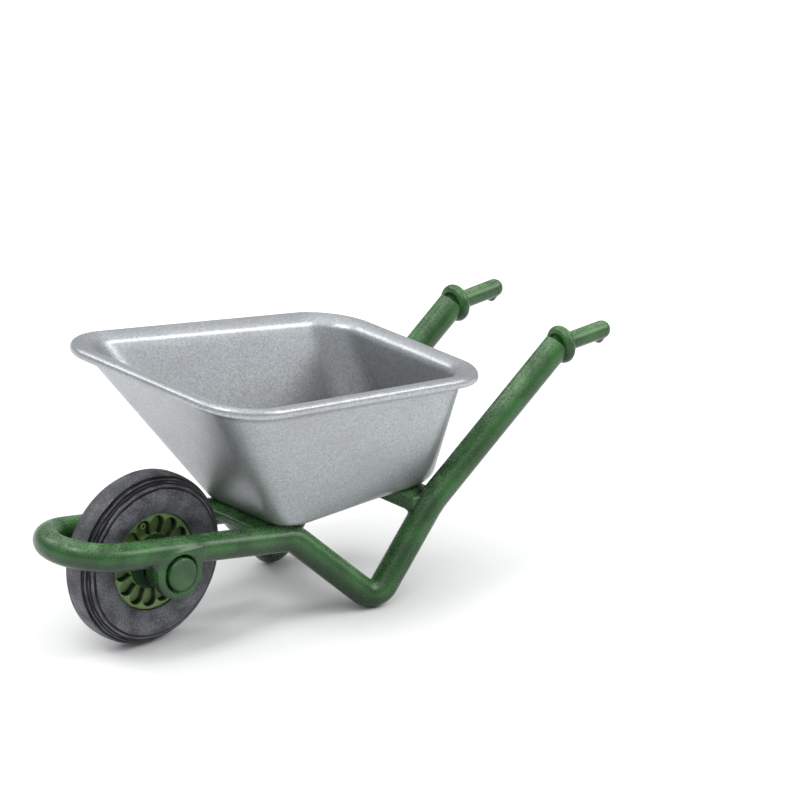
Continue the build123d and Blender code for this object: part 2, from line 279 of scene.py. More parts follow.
def settle(verts, edges, distance, rounds=3):
    """Evens out a mesh and draws its vertices on to the surface where the distance is nought."""
    reach, evened, longest_step = 0.02, 0.6, 0.4
    probes = np.array([(1, 1, 1), (1, -1, -1), (-1, 1, -1), (-1, -1, 1)], dtype=float)
    degree = np.bincount(edges.ravel(), minlength=len(verts))[:, None]
    for turn in range(rounds):
        if turn < rounds - 1:
            total = np.zeros_like(verts)
            np.add.at(total, edges[:, 0], verts[edges[:, 1]])
            np.add.at(total, edges[:, 1], verts[edges[:, 0]])
            verts = verts * (1 - evened) + total / degree * evened
        for _ in range(2 if turn == rounds - 1 else 1):
            values = [distance(verts + probe * reach) for probe in probes]
            slope = sum(value[:, None] * probe for value, probe in zip(values, probes))
            slope = slope / (len(probes) * reach)
            steepness = (slope * slope).sum(axis=1, keepdims=True)
            step = np.mean(values, axis=0)[:, None] * slope / steepness
            verts = verts - np.clip(step, -longest_step, longest_step)
    return verts


# ---------------------------------------------------------------- geometry node trees

def put(tree, kind, sockets=None, **settings):
    """Adds a node with its settings, and fills its sockets with values or links."""
    node = tree.nodes.new(kind)
    for key, value in settings.items():
        setattr(node, key, value)
    for key, value in (sockets or {}).items():
        if isinstance(value, bpy.types.NodeSocket):
            tree.links.new(value, node.inputs[key])
        else:
            node.inputs[key].default_value = value
    return node


def geometry_tree(name, sizes):
    """A geometry tree with one geometry input and named sizes."""
    tree = bpy.data.node_groups.new(name, "GeometryNodeTree")
    tree.interface.new_socket("Geometry", in_out="INPUT", socket_type="NodeSocketGeometry")
    for size, (kind, value) in sizes.items():
        socket = tree.interface.new_socket(size, in_out="INPUT", socket_type=kind)
        socket.default_value = value
    tree.interface.new_socket("Geometry", in_out="OUTPUT", socket_type="NodeSocketGeometry")
    return tree, tree.nodes.new("NodeGroupInput"), tree.nodes.new("NodeGroupOutput")


def finish_tree(tree, out, geometry, material):
    """Realizes the instances and gives them their material."""
    real = put(tree, "GeometryNodeRealizeInstances", {"Geometry": geometry})
    paint = put(
        tree, "GeometryNodeSetMaterial", {"Geometry": real.outputs[0], "Material": material}
    )
    tree.links.new(paint.outputs[0], out.inputs[0])
    return tree


def add_tree(thing, tree, sizes):
    """Puts a geometry tree on an object, with its named sizes."""
    modifier = thing.modifiers.new(tree.name, "NODES")
    modifier.node_group = tree
    for item in tree.interface.items_tree:
        if item.in_out == "INPUT" and item.name in sizes:
            modifier[item.identifier] = sizes[item.name]


def bar_tree(material):
    """A round bar that follows a curve."""
    tree, given, out = geometry_tree(
        "bar_along_path", {"Bar radius": ("NodeSocketFloat", 1.0), "Sides": ("NodeSocketInt", 48)}
    )
    ring = put(
        tree,
        "GeometryNodeCurvePrimitiveCircle",
        {"Resolution": given.outputs["Sides"], "Radius": given.outputs["Bar radius"]},
    )
    bar = put(
        tree,
        "GeometryNodeCurveToMesh",
        {"Curve": given.outputs[0], "Profile Curve": ring.outputs[0], "Fill Caps": True},
    )
    return finish_tree(tree, out, bar.outputs[0], material)


def round_axle_tree(material):
    """Copies of one sector, turned round the Y axis and merged into a full wheel."""
    tree, given, out = geometry_tree(
        "sectors_round_axle",
        {
            "Sectors": ("NodeSocketInt", POCKETS),
            "First angle": ("NodeSocketFloat", 0.0),
            "Merge distance": ("NodeSocketFloat", 1e-6),
        },
    )
    spots = put(
        tree,
        "GeometryNodeMeshLine",
        {"Count": given.outputs["Sectors"], "Start Location": (0, 0, 0), "Offset": (0, 0, 0)},
    )
    pitch = put(
        tree, "ShaderNodeMath", {0: math.tau, 1: given.outputs["Sectors"]}, operation="DIVIDE"
    )
    index = put(tree, "GeometryNodeInputIndex")
    turn = put(
        tree,
        "ShaderNodeMath",
        {0: index.outputs[0], 1: pitch.outputs[0], 2: given.outputs["First angle"]},
        operation="MULTIPLY_ADD",
    )
    spin = put(tree, "ShaderNodeCombineXYZ", {"Y": turn.outputs[0]})
    copies = put(
        tree,
        "GeometryNodeInstanceOnPoints",
        {"Points": spots.outputs[0], "Instance": given.outputs[0], "Rotation": spin.outputs[0]},
    )
    real = put(tree, "GeometryNodeRealizeInstances", {"Geometry": copies.outputs[0]})
    whole = put(
        tree,
        "GeometryNodeMergeByDistance",
        {"Geometry": real.outputs[0], "Distance": given.outputs["Merge distance"]},
    )
    return finish_tree(tree, out, whole.outputs[0], material)


# ---------------------------------------------------------------- materials

def srgb(code):
    """A linear colour from an sRGB hex value."""
    parts = [int(code[i : i + 2], 16) / 255 for i in (1, 3, 5)]
    linear = [p / 12.92 if p <= 0.04045 else ((p + 0.055) / 1.055) ** 2.4 for p in parts]
    return (*linear, 1.0)


def per_mm(size):
    """The texture scale that gives a pattern of this size in millimetres."""
    return 1 / (size * MM)


def new_material(name, **sockets):
    """A material with one Principled shader, and the coordinates its patterns read."""
    material = bpy.data.materials.new(name)
    material.use_nodes = True
    tree = material.node_tree
    tree.nodes.clear()
    shader = put(tree, "ShaderNodeBsdfPrincipled", sockets)
    out = put(tree, "ShaderNodeOutputMaterial", {"Surface": shader.outputs[0]})
    out.is_active_output = True
    place = put(tree, "ShaderNodeTexCoord").outputs["Object"]
    return material, tree, shader, place


def noise(tree, place, size, detail=2.0, rough=0.5):
    """Grey noise of a size in millimetres."""
    node = put(
        tree,
        "ShaderNodeTexNoise",
        {"Vector": place, "Scale": per_mm(size), "Detail": detail, "Roughness": rough},
    )
    return node.outputs["Fac"]


def ramp(tree, value, low, high, out_low=0.0, out_high=1.0):
    """Maps a range of a value on to another range, smoothly and clamped."""
    node = put(
        tree,
        "ShaderNodeMapRange",
        {"Value": value, "From Min": low, "From Max": high, "To Min": out_low, "To Max": out_high},
        interpolation_type="SMOOTHSTEP",
    )
    return node.outputs[0]


def maths(tree, operation, *values):
    """The result of one sum."""
    return put(tree, "ShaderNodeMath", dict(enumerate(values)), operation=operation).outputs[0]


def mixed(tree, share, first, second):
    """A mix of two colours."""
    node = put(tree, "ShaderNodeMix", {0: share, 6: first, 7: second}, data_type="RGBA")
    return node.outputs[2]


def bumped(tree, shader, height, depth_mm):
    """Raises the surface by a height map, up to a depth in millimetres."""
    sockets = {"Height": height, "Distance": depth_mm * MM, "Strength": 1.0}
    bump = put(tree, "ShaderNodeBump", sockets)
    tree.links.new(bump.outputs[0], shader.inputs["Normal"])


def shade_and_wash_of(tree):
    """How much painted shade lies here, with dark paint settled in some hollows as well."""
    return put(tree, "ShaderNodeAttribute", attribute_name="shade_and_wash").outputs["Fac"]


def facing_up(tree):
    """How far the surface faces up: 1 on top, -1 underneath."""
    normal = put(tree, "ShaderNodeNewGeometry").outputs["Normal"]
    return put(tree, "ShaderNodeSeparateXYZ", {"Vector": normal}).outputs["Z"]


def silver_spray_paint():
    """Silver lacquer sprayed on moulded plastic: fine metal flakes in a soft satin sheen, with warm
    grey painted shade under the lip and low inside the tray."""
    material, tree, shader, place = new_material("silver_spray_paint", **{"Metallic": 0.72})
    cells = put(tree, "ShaderNodeTexVoronoi", {"Vector": place, "Scale": per_mm(0.22)})
    tone = put(tree, "ShaderNodeSeparateXYZ", {"Vector": cells.outputs["Color"]}).outputs["X"]
    flake = mixed(tree, tone, srgb("#979b9e"), srgb("#b6babd"))
    cloud = ramp(tree, noise(tree, place, 9.0, 3.0), 0.35, 0.7)
    paint = mixed(tree, maths(tree, "MULTIPLY", cloud, 0.3), flake, srgb("#959698"))
    # Painted shade: warm dark grey in the crease under the lip and growing down inside the tray.
    dark = maths(tree, "MULTIPLY", shade_and_wash_of(tree), 0.8)
    tree.links.new(mixed(tree, dark, paint, srgb("#4c4634")), shader.inputs["Base Color"])
    grain = noise(tree, place, 0.22, 2.0, 0.6)
    tree.links.new(ramp(tree, grain, 0.3, 0.7, 0.3, 0.42), shader.inputs["Roughness"])
    bumped(tree, shader, grain, 0.012)
    return material


def green_frame_paint():
    """Green enamel over cast plastic: satin and faintly orange-peeled, with painted shade
    underneath, in the creases and in the axle seats, and a pale dry brush of worn paint that is
    weighted to the top as a painted highlight."""
    material, tree, shader, place = new_material(
        "green_frame_paint", **{"IOR": 1.5, "Specular IOR Level": 0.4}
    )
    grain = noise(tree, place, 0.3, 4.0, 0.65)
    patch = noise(tree, place, 5.0, 2.0)
    up = facing_up(tree)
    base = mixed(tree, ramp(tree, patch, 0.35, 0.65), srgb("#254824"), srgb("#32602f"))
    # Painted shade: darker paint on faces that turn downwards.
    underside_shade = ramp(tree, up, 0.3, -0.65, 0.0, 0.82)
    shaded = mixed(tree, underside_shade, base, srgb("#0f2011"))
    worn = maths(tree, "ADD", grain, maths(tree, "MULTIPLY", noise(tree, place, 3.0), 0.6))
    # Painted highlight: the pale dry brush is worn paint, weighted to faces that turn upwards.
    caught = maths(tree, "MULTIPLY", ramp(tree, up, 0.3, 0.95), ramp(tree, worn, 0.68, 1.05))
    brushed = mixed(tree, maths(tree, "MULTIPLY", caught, 0.4), shaded, srgb("#8db082"))
    # Painted shade in the cap seats, on the barrel ends and in the creases, where dark paint has
    # also settled.
    dark = maths(tree, "MULTIPLY", shade_and_wash_of(tree), 0.85)
    tree.links.new(mixed(tree, dark, brushed, srgb("#0f2013")), shader.inputs["Base Color"])
    tree.links.new(ramp(tree, grain, 0.3, 0.7, 0.2, 0.34), shader.inputs["Roughness"])
    bumped(tree, shader, grain, 0.028)
    return material


def shaded_green_hub_paint():
    """The frame's green enamel, painted darker as shade on the moulded hub under the ear, in an
    even coat.
    """
    material, tree, shader, place = new_material(
        "shaded_green_hub_paint", **{"IOR": 1.5, "Specular IOR Level": 0.15}
    )
    grain = noise(tree, place, 0.3, 3.0, 0.6)
    tone = mixed(tree, ramp(tree, grain, 0.35, 0.65), srgb("#213f28"), srgb("#2c4d2f"))
    # Painted shade: near black at the hub's end, next to the washers.
    coloured = mixed(tree, shade_and_wash_of(tree), tone, srgb("#080c08"))
    tree.links.new(coloured, shader.inputs["Base Color"])
    tree.links.new(ramp(tree, grain, 0.3, 0.7, 0.4, 0.55), shader.inputs["Roughness"])
    bumped(tree, shader, grain, 0.025)
    return material


def olive_rim_paint():
    """Olive enamel on the moulded rim, with black paint run into the pockets and painted shade in
    them and in the valve's hollow.
    """
    material, tree, shader, place = new_material("olive_rim_paint", **{"IOR": 1.5})
    grain = noise(tree, place, 0.3, 3.0, 0.6)
    base = mixed(tree, ramp(tree, grain, 0.35, 0.65), srgb("#587a3d"), srgb("#739152"))
    # Painted shade in the pockets and the valve's hollow, with black paint run into the pockets.
    dark = ramp(tree, shade_and_wash_of(tree), 0.0, 0.9)
    tree.links.new(mixed(tree, dark, base, srgb("#0c130b")), shader.inputs["Base Color"])
    tree.links.new(ramp(tree, grain, 0.3, 0.7, 0.32, 0.48), shader.inputs["Roughness"])
    bumped(tree, shader, grain, 0.03)
    return material


def grey_tyre_paint():
    """Charcoal tyre paint, dry-brushed with pale grey that catches on the raised grain; painted
    shade, black in the grooves and on the seat under the rim."""
    material, tree, shader, place = new_material("grey_tyre_paint", **{"IOR": 1.48})
    grain = noise(tree, place, 0.26, 4.0, 0.7)
    patch = noise(tree, place, 3.2, 3.0)
    base = mixed(tree, ramp(tree, patch, 0.35, 0.65), srgb("#36363a"), srgb("#47484c"))
    worn = maths(tree, "ADD", grain, maths(tree, "MULTIPLY", patch, 0.4))
    caught = ramp(tree, worn, 0.62, 0.86)
    brushed = mixed(tree, maths(tree, "MULTIPLY", caught, 0.5), base, srgb("#85878f"))
    # Painted shade: black in the grooves and on the seat under the rim.
    dark = ramp(tree, shade_and_wash_of(tree), 0.1, 0.7)
    tree.links.new(mixed(tree, dark, brushed, srgb("#0b0b0c")), shader.inputs["Base Color"])
    tree.links.new(ramp(tree, grain, 0.3, 0.7, 0.48, 0.66), shader.inputs["Roughness"])
    bumped(tree, shader, grain, 0.05)
    return material


def turned_steel():
    """Plain turned steel: bright, with fine tool marks."""
    material, tree, shader, place = new_material(
        "turned_steel", **{"Metallic": 1.0, "Base Color": srgb("#b9b8b4")}
    )
    marks = noise(tree, place, 0.15, 2.0)
    tree.links.new(ramp(tree, marks, 0.3, 0.7, 0.25, 0.42), shader.inputs["Roughness"])
    bumped(tree, shader, marks, 0.008)
    return material


def pale_floor():
    """Seamless white card: matt, with no pattern that the eye can find."""
    material, tree, shader, place = new_material("white_card", **{"Roughness": 0.9})
    tone = ramp(tree, noise(tree, place, 60.0), 0.3, 0.7)
    tree.links.new(mixed(tree, tone, srgb("#f4f4f4"), srgb("#f6f6f6")), shader.inputs["Base Color"])
    return material


# ---------------------------------------------------------------- frame weldment

def centre_line():
    """The left side's tube, from the middle of the loop to the wrist."""
    slope = (RAIL_Z_AT_AXLE - KNEE[2]) / (AXLE[0] - KNEE[0])
    loop_z = KNEE[2] + slope * (LOOP_FRONT_X - KNEE[0])
    corners = [
        (LOOP_FRONT_X, 0, loop_z),
        (LOOP_FRONT_X, RAIL_Y, loop_z),
        (AXLE[0], RAIL_Y, RAIL_Z_AT_AXLE),
        KNEE,
        FOOT,
        HIP,
        WRIST,
    ]
    return rounded_path(corners, (LOOP_BEND, AXLE_BEND, KNEE_BEND, FOOT_BEND, HIP_BEND))


def folded(points):
    """The points, all brought to the barrow's left side."""
    return np.column_stack([points[:, 0], np.abs(points[:, 1]), points[:, 2]])


def frame_distance(points, path, fill=1.0):
    """Distance to the tubes, ears and bearers as one casting.

    Fill is how full the inner corners round the bearers are.
    """
    p = folded(points)
    from_axle = p - AXLE
    radius = np.hypot(from_axle[:, 0], from_axle[:, 2])
    apron = np.hypot(from_axle[:, 0], np.minimum(from_axle[:, 2], 0)) - EAR_R
    lean = np.maximum(p[:, 2] - EAR_LEAN_FROM, 0) * EAR_LEAN
    ear = to_slab(apron, p[:, 1] + lean, EAR_IN_Y, EAR_OUT_Y, EAR_EDGE)
    ear = np.maximum(ear, p[:, 2] - RAIL_Z_AT_AXLE)
    barrel = to_slab(radius - BARREL_R, p[:, 1], BARREL_IN_Y, EAR_IN_Y + 1, BARREL_EDGE)
    tube = to_path(p, path) - TUBE_R
    front, rear = (to_box(p, low, high, BEARER_EDGE) for low, high in BEARER_BOXES)
    body = merge(tube, merge(ear, barrel, BARREL_BLEND), EAR_BLEND)
    body = merge(body, front, BEARER_BLEND * 0.5 * fill)
    body = merge(body, rear, BEARER_BLEND * fill)
    seat = to_slab(radius - SEAT_R, p[:, 1], EAR_OUT_Y - SEAT_DEPTH, EAR_OUT_Y + 4, SEAT_EDGE)
    return cut(body, seat, SEAT_LIP_EDGE)


def swept_blank(bars, points, radius, cyclic=False):
    """A bar along a line of points, before it is smoothed into its neighbours."""
    curve = bpy.data.curves.new("bar", "CURVE")
    curve.dimensions = "3D"
    spline = curve.splines.new("POLY")
    spline.points.add(len(points) - 1)
    spline.points.foreach_set("co", np.column_stack([points, np.ones(len(points))]).ravel())
    spline.use_cyclic_u = cyclic
    line = linked("bar", curve)
    add_tree(line, bars, {"Bar radius": radius})
    thing = linked("blank", seen_mesh(line))
    bpy.data.objects.remove(line)
    return thing


def block_blank(low, high):
    """A plain block, before it is smoothed into its neighbours."""
    low, high = np.array(low, dtype=float), np.array(high, dtype=float)
    work = bmesh.new()
    place = Matrix.Translation(Vector((low + high) / 2)) @ Matrix.Diagonal((*(high - low), 1))
    bmesh.ops.create_cube(work, size=1, matrix=place)
    return blank_object(work)


def drum_blank(centre, radius, y_from, y_to):
    """A plain drum across the barrow."""
    work = bmesh.new()
    place = Matrix.Translation((centre[0], (y_from + y_to) / 2, centre[2]))
    place = place @ Matrix.Rotation(math.pi / 2, 4, "X")
    bmesh.ops.create_cone(
        work,
        cap_ends=True,
        segments=64,
        radius1=radius,
        radius2=radius,
        depth=abs(y_to - y_from),
        matrix=place,
    )
    return blank_object(work)


def ball_blank(centre, radius):
    """A plain ball."""
    work = bmesh.new()
    place = Matrix.Translation(centre)
    bmesh.ops.create_icosphere(work, subdivisions=3, radius=radius, matrix=place)
    return blank_object(work)


def blank_object(work):
    """An object from a bmesh, in millimetres."""
    mesh = bpy.data.meshes.new("blank")
    work.to_mesh(mesh)
    work.free()
    return linked("blank", mesh)


def cast(blanks, cell, distance):
    """Fuses blanks into one skin of even cells and draws it on to a smooth surface."""
    joined = bmesh.new()
    for blank in blanks:
        joined.from_mesh(blank.data)
        bpy.data.objects.remove(blank)
    whole = blank_object(joined)
    modifier = whole.modifiers.new("fuse", "REMESH")
    modifier.mode = "VOXEL"
    modifier.voxel_size = cell
    plain_mesh(whole)
    mesh = whole.data
    verts = np.empty(len(mesh.vertices) * 3)
    mesh.vertices.foreach_get("co", verts)
    edges = np.empty(len(mesh.edges) * 2, dtype=int)
    mesh.edges.foreach_get("vertices", edges)
    faces = [tuple(face.vertices) for face in mesh.polygons]
    verts = settle(verts.reshape(-1, 3), edges.reshape(-1, 2), distance)
    bpy.data.objects.remove(whole)
    return verts, faces


def frame_piece(material, bars):
    """The bent tube frame with its ears and bearers, as one painted casting."""
    path = centre_line()
    whole_path = np.vstack([path[::-1] * (1, -1, 1), path[1:]])
    blanks = [swept_blank(bars, whole_path, TUBE_R)]
    for side in (1, -1):
        blanks.append(drum_blank(AXLE, EAR_R, side * EAR_IN_Y, side * EAR_OUT_Y))
        blanks.append(drum_blank(AXLE, BARREL_R, side * BARREL_IN_Y, side * EAR_OUT_Y))
        y_low, y_high = sorted((side * EAR_IN_Y, side * EAR_OUT_Y))
        blanks.append(
            block_blank(
                (AXLE[0] - EAR_R, y_low, AXLE[2]), (AXLE[0] + EAR_R, y_high, RAIL_Z_AT_AXLE)
            )
        )
    blanks.extend(block_blank(low, high) for low, high in BEARER_BOXES)
    verts, faces = cast(blanks, FRAME_CELL, lambda p: frame_distance(p, path))
    from_axle = verts - AXLE
    radius, across = np.hypot(from_axle[:, 0], from_axle[:, 2]), np.abs(verts[:, 1])
    # Painted shade in the cap seats and on the barrel ends, and in the creases, where dark paint
    # has also settled.
    in_seat = (radius < SEAT_R + 0.05) & (across < EAR_OUT_Y - 0.15) & (across > CAP_IN_Y - 0.1)
    on_barrel_end = (radius < BARREL_R + 0.1) & (across < BARREL_IN_Y + 0.25)
    in_corner = np.clip(frame_distance(verts, path, CREASE_FILL) / FRAME_CREASE, 0, 1)
    shade_and_wash_levels = np.maximum(in_corner, in_seat | on_barrel_end)
    thing = as_object("tube_frame", verts, faces, shade_and_wash_levels)
    thing.data.materials.append(material)
    return thing


def grip_piece(side, material, bars):
    """A collar ring and the slim round-ended grip behind it, with the stop under its end."""
    flip = np.array((1, side, 1))
    start = (np.array(WRIST) + (0, 0, GRIP_RISE)) * flip
    end = np.array(GRIP_END) * flip
    along = unit(end - start)
    ring_at = np.array(WRIST) * flip + along * RING_FROM_WRIST
    nub_at = end - along * NUB_FROM_END - (0, 0, GRIP_R - NUB_R + NUB_DROP)
    sideways = unit(np.cross(along, (0, 0, 1)))
    upright = np.cross(sideways, along)
    turns = np.linspace(0, math.tau, 48, endpoint=False)[:, None]
    circle = ring_at + RING_R * (np.cos(turns) * sideways + np.sin(turns) * upright)

    def distance(points, fill=1.0):
        away = points - ring_at
        height = away @ along
        spread = np.linalg.norm(away - height[:, None] * along, axis=1)
        ring = np.hypot(spread - RING_R, height) - RING_ROLL_R
        disc = np.maximum(spread - RING_R, np.abs(height) - RING_ROLL_R * 0.9)
        rod = to_segment(points, ring_at, end) - GRIP_R
        nub = np.linalg.norm(points - nub_at, axis=1) - NUB_R
        grip = merge(np.minimum(ring, disc), rod, RING_BLEND * fill)
        return merge(grip, nub, NUB_BLEND * fill)

    blanks = [
        swept_blank(bars, circle, RING_ROLL_R, cyclic=True),
        swept_blank(bars, np.array([ring_at - along * 0.8, end]), GRIP_R),
        ball_blank(end, GRIP_R),
        ball_blank(nub_at, NUB_R),
    ]
    label = "grip_and_collar_left" if side > 0 else "grip_and_collar_right"
    verts, faces = cast(blanks, GRIP_CELL, distance)
    # Painted shade in the creases round the collar and the stop, where dark paint has also settled.
    shade_and_wash_levels = np.clip(distance(verts, CREASE_FILL) / GRIP_CREASE, 0, 1)
    thing = as_object(label, verts, faces, shade_and_wash_levels)
    thing.data.materials.append(material)
    return thing


# ---------------------------------------------------------------- turned pieces

def turned(name, outline, shade_and_wash_levels, material, steps, centre=AXLE):
    """Turns an open outline of (radius, y) about an axis parallel to the axle, with closed ends."""
    angles = np.linspace(0, math.tau, steps, endpoint=False)
    rings = [ring_round_axle(radius, y, angles) for radius, y in outline]
    verts = np.concatenate(rings) + (centre[0], 0, centre[2])
    thing = as_object(name, verts, skin(rings, end_caps=True), np.repeat(shade_and_wash_levels, steps))
    thing.data.materials.append(material)
    return face_outwards(thing)


def rounded_outline(corners, radii, steps=6):
    """A closed 2-D outline with its corners rounded."""
    corners = [np.array(corner, dtype=float) for corner in corners]
    points = []
    for i, corner in enumerate(corners):
        back = unit(corners[i - 1] - corner)
        on = unit(corners[(i + 1) % len(corners)] - corner)
        if radii[i] == 0:
            points.append(corner)
            continue
        half = math.acos(np.clip(back @ on, -1, 1)) / 2
        reach = radii[i] / math.tan(half)
        centre = corner + unit(back + on) * radii[i] / math.sin(half)
        first, last = corner + back * reach - centre, corner + on * reach - centre
        turn = math.pi - 2 * half
        points.extend(centre + swing(first, last, k / steps, turn) for k in range(steps + 1))
    return np.array(points)


def axle_cap_piece(side, material):
    """The round cap in the ear's seat, with a bevelled edge."""
    outline = rounded_outline(
        [
            (CAP_R - 0.6, side * CAP_IN_Y),
            (CAP_R, side * CAP_IN_Y),
            (CAP_R, side * (CAP_OUT_Y - CAP_BEVEL)),
            (CAP_R - CAP_BEVEL, side * CAP_OUT_Y),
            (CAP_R - 0.7, side * CAP_OUT_Y),
        ],
        [0, 0.1, 0.1, 0.14, 0],
    )
    # Painted shade on the cap's side, darker deeper in the seat.
    depth = (CAP_OUT_Y - CAP_SHADE_FROM - np.abs(outline[:, 1])) / CAP_SHADE_OVER
    label = "axle_cap_face_left" if side > 0 else "axle_cap_face_right"
    return turned(label, outline, np.clip(depth, 0, 1), material, 96)


def tyre_piece(material):
    """The tyre: a round section with a flat tread band and fine grooves near both shoulders."""
    around, across, seat_rings, seat_half_width = 240, 260, 7, 2.2
    section_at = WHEEL_R - TYRE_SECTION_R
    seat = math.acos((TYRE_SEAT_R - section_at) / TYRE_SECTION_R)
    angles = np.linspace(0, math.tau, around, endpoint=False)
    random = np.random.default_rng(7)
    drifts = []  # how each groove wanders as it runs round the tyre
    for _ in range(len(TYRE_GROOVES) * 2):
        phases = random.uniform(0, math.tau, 4)
        waves = zip((5, 9, 16, 27), phases)
        drifts.append(sum(np.sin(angles * wave + phase) for wave, phase in waves))
    rings, shade_and_wash_levels = [], []
    for angle in np.linspace(-seat, seat, across):
        bite = np.zeros(around)
        for index, (groove, width, depth) in enumerate(TYRE_GROOVES * 2):
            side = 1 if index < len(TYRE_GROOVES) else -1
            middle = side * math.radians(groove) + drifts[index] * GROOVE_WANDER
            away = (angle - middle) * TYRE_SECTION_R / (width / 2)
            deep = depth * (1 + GROOVE_UNEVEN * drifts[index])
            bite = np.maximum(bite, deep * np.exp(-(away**4)))
        flat = TREAD_FLAT * np.exp(-((math.degrees(angle) / TREAD_REACH) ** 6))
        radius = TYRE_SECTION_R - bite - flat * (1 - math.cos(angle) * 0.35)
        out = section_at + radius * math.cos(angle)
        rings.append(ring_round_axle(out, radius * math.sin(angle), angles))
        # Painted shade, darker the deeper a groove bites.
        shade_and_wash_levels.append(np.clip(bite / GROOVE_SHADE_BITE, 0, 1))
    # The seat under the rim is all painted shade.
    for y in np.linspace(seat_half_width, -seat_half_width, seat_rings):
        rings.append(ring_round_axle(TYRE_SEAT_R, y, angles))
        shade_and_wash_levels.append(np.ones(around))
    verts = np.concatenate(rings) + (AXLE[0], 0, AXLE[2])
    thing = as_object("tyre_skin", verts, skin(rings, loop_rings=True), np.concatenate(shade_and_wash_levels))
    thing.data.materials.append(material)
    return face_outwards(thing)


def pocket_depth(radius, angles):
    """How deep the rim's face is along an arc, and how far that is from the pocket's outline.

    A pocket is the hull of a small and a large circle on the sector's middle line.
    """
    half_pitch = math.pi / POCKETS
    small = POCKET_IN_R * math.tan(half_pitch) - POCKET_RIB / 2
    widest = POCKET_OUT_R * math.tan(half_pitch) - POCKET_RIB / 2
    large_at = POCKET_OUT_R - widest * POCKET_LARGE
    large = large_at * math.tan(half_pitch) - POCKET_RIB / 2
    length = large_at - POCKET_IN_R
    slant = (large - small) / length / math.sqrt(1 - ((large - small) / length) ** 2)
    x, y = radius * np.cos(angles) - POCKET_IN_R, np.abs(radius * np.sin(angles))
    share = np.clip((x + y * slant) / length, 0, 1)
    away = np.hypot(x - share * length, y) - (small + (large - small) * share)
    deep = np.clip(0.5 - away / POCKET_WALL, 0, 1)
    return POCKET_DEPTH * deep * deep * (3 - 2 * deep), away


def rim_piece(material, shaded_hub_material):
    """The rim: one sector with a pocket in both faces, repeated round the axle."""
    across, along, half_pitch = 46, 60, math.pi / POCKETS
    hub = rounded_outline(
        [(BUSH_R, HUB_FACE_Y), (HUB_TIP_R, HUB_FACE_Y), (HUB_R, RIM_FACE_Y), (HUB_R, 0)],
        [0, 0.3, 0, 0],
    )[:-1]
    reach = np.linspace(HUB_R + 0.06, RIM_R - RIM_EDGE, along)
    lift = BEAD_H * np.clip((reach - BEAD_IN_R) / 0.1 + 0.5, 0, 1)
    face = np.column_stack([reach, RIM_FACE_Y + lift])
    turns = np.linspace(0, math.pi / 2, 5)[1:]
    edge_y = RIM_FACE_Y + BEAD_H - RIM_EDGE * (1 - np.cos(turns))
    edge = np.column_stack([RIM_R - RIM_EDGE * (1 - np.sin(turns)), edge_y])
    half = np.vstack([hub, face, edge, [(RIM_R, 0.9)]])
    outline = np.vstack([half, half[::-1] * (1, -1)])
    angles = np.linspace(-half_pitch, half_pitch, across + 1)
    verts, shade_and_wash_levels = [], []
    for radius, y in outline:
        sunk, away = pocket_depth(radius, angles)
        on_face = radius > HUB_R and abs(y) >= RIM_FACE_Y
        height = y - np.sign(y) * sunk * on_face
        verts.append(ring_round_axle(radius, height, angles))
        # Painted shade on the pockets' walls and floors, where black paint has also run, and
        # painted shade at the hub's end.
        in_wall = np.exp(-(((away + POCKET_WALL) / WALL_SHADE_AND_WASH_W) ** 2))
        in_floor = FLOOR_SHADE_AND_WASH * np.clip(-away / POCKET_WALL, 0, 1)
        at_tip = float(abs(y) > HUB_FACE_Y - TIP_SHADE_W)
        shade_and_wash_levels.append(np.maximum(np.maximum(in_wall, in_floor) * on_face, at_tip))
    rows, columns = len(outline), across + 1
    faces = []
    for i in range(rows):
        here, there = i * columns, (i + 1) % rows * columns
        for j in range(across):
            faces.append((here + j, here + j + 1, there + j + 1, there + j))
    sector = as_object("petal_rim", np.concatenate(verts), faces, np.concatenate(shade_and_wash_levels))
    add_tree(
        sector,
        round_axle_tree(material),
        {"Sectors": POCKETS, "First angle": -math.radians(POCKET_TURN), "Merge distance": 2e-6},
    )
    plain_mesh(sector)
    sector.data.materials.clear()
    sector.data.materials.append(material)
    sector.data.materials.append(shaded_hub_material)
    for polygon in sector.data.polygons:
        polygon.material_index = int(abs(polygon.center.y) > (RIM_FACE_Y + BEAD_H + 0.1) * MM)
    sector.data.transform(Matrix.Translation(Vector(AXLE * MM)))
    sector.data.shade_smooth()
    return face_outwards(sector)


def valve_piece(material):
    """The short valve stub with a hollow end, standing in the first pocket."""
    turn = math.radians(POCKET_TURN)
    centre = AXLE + VALVE_AT_R * np.array((math.cos(turn), 0, math.sin(turn)))
    low, high, bore = RIM_FACE_Y - POCKET_DEPTH, RIM_FACE_Y + 0.25, VALVE_R * 0.5
    bottom = high - 0.35  # of the hollow in the stub's end
    corners = [
        (bore, low),
        (VALVE_R, low),
        (VALVE_R, high),
        (bore, high),
        (bore, bottom),
        (bore / 2, bottom),
    ]
    outline = rounded_outline(corners, [0, 0, 0.1, 0.1, 0.05, 0], 4)
    shade = np.where(outline[:, 0] < VALVE_R * 0.55, 1.0, 0.0)
    return turned("valve_stub", outline, shade, material, 32, centre)


# ---------------------------------------------------------------- tray

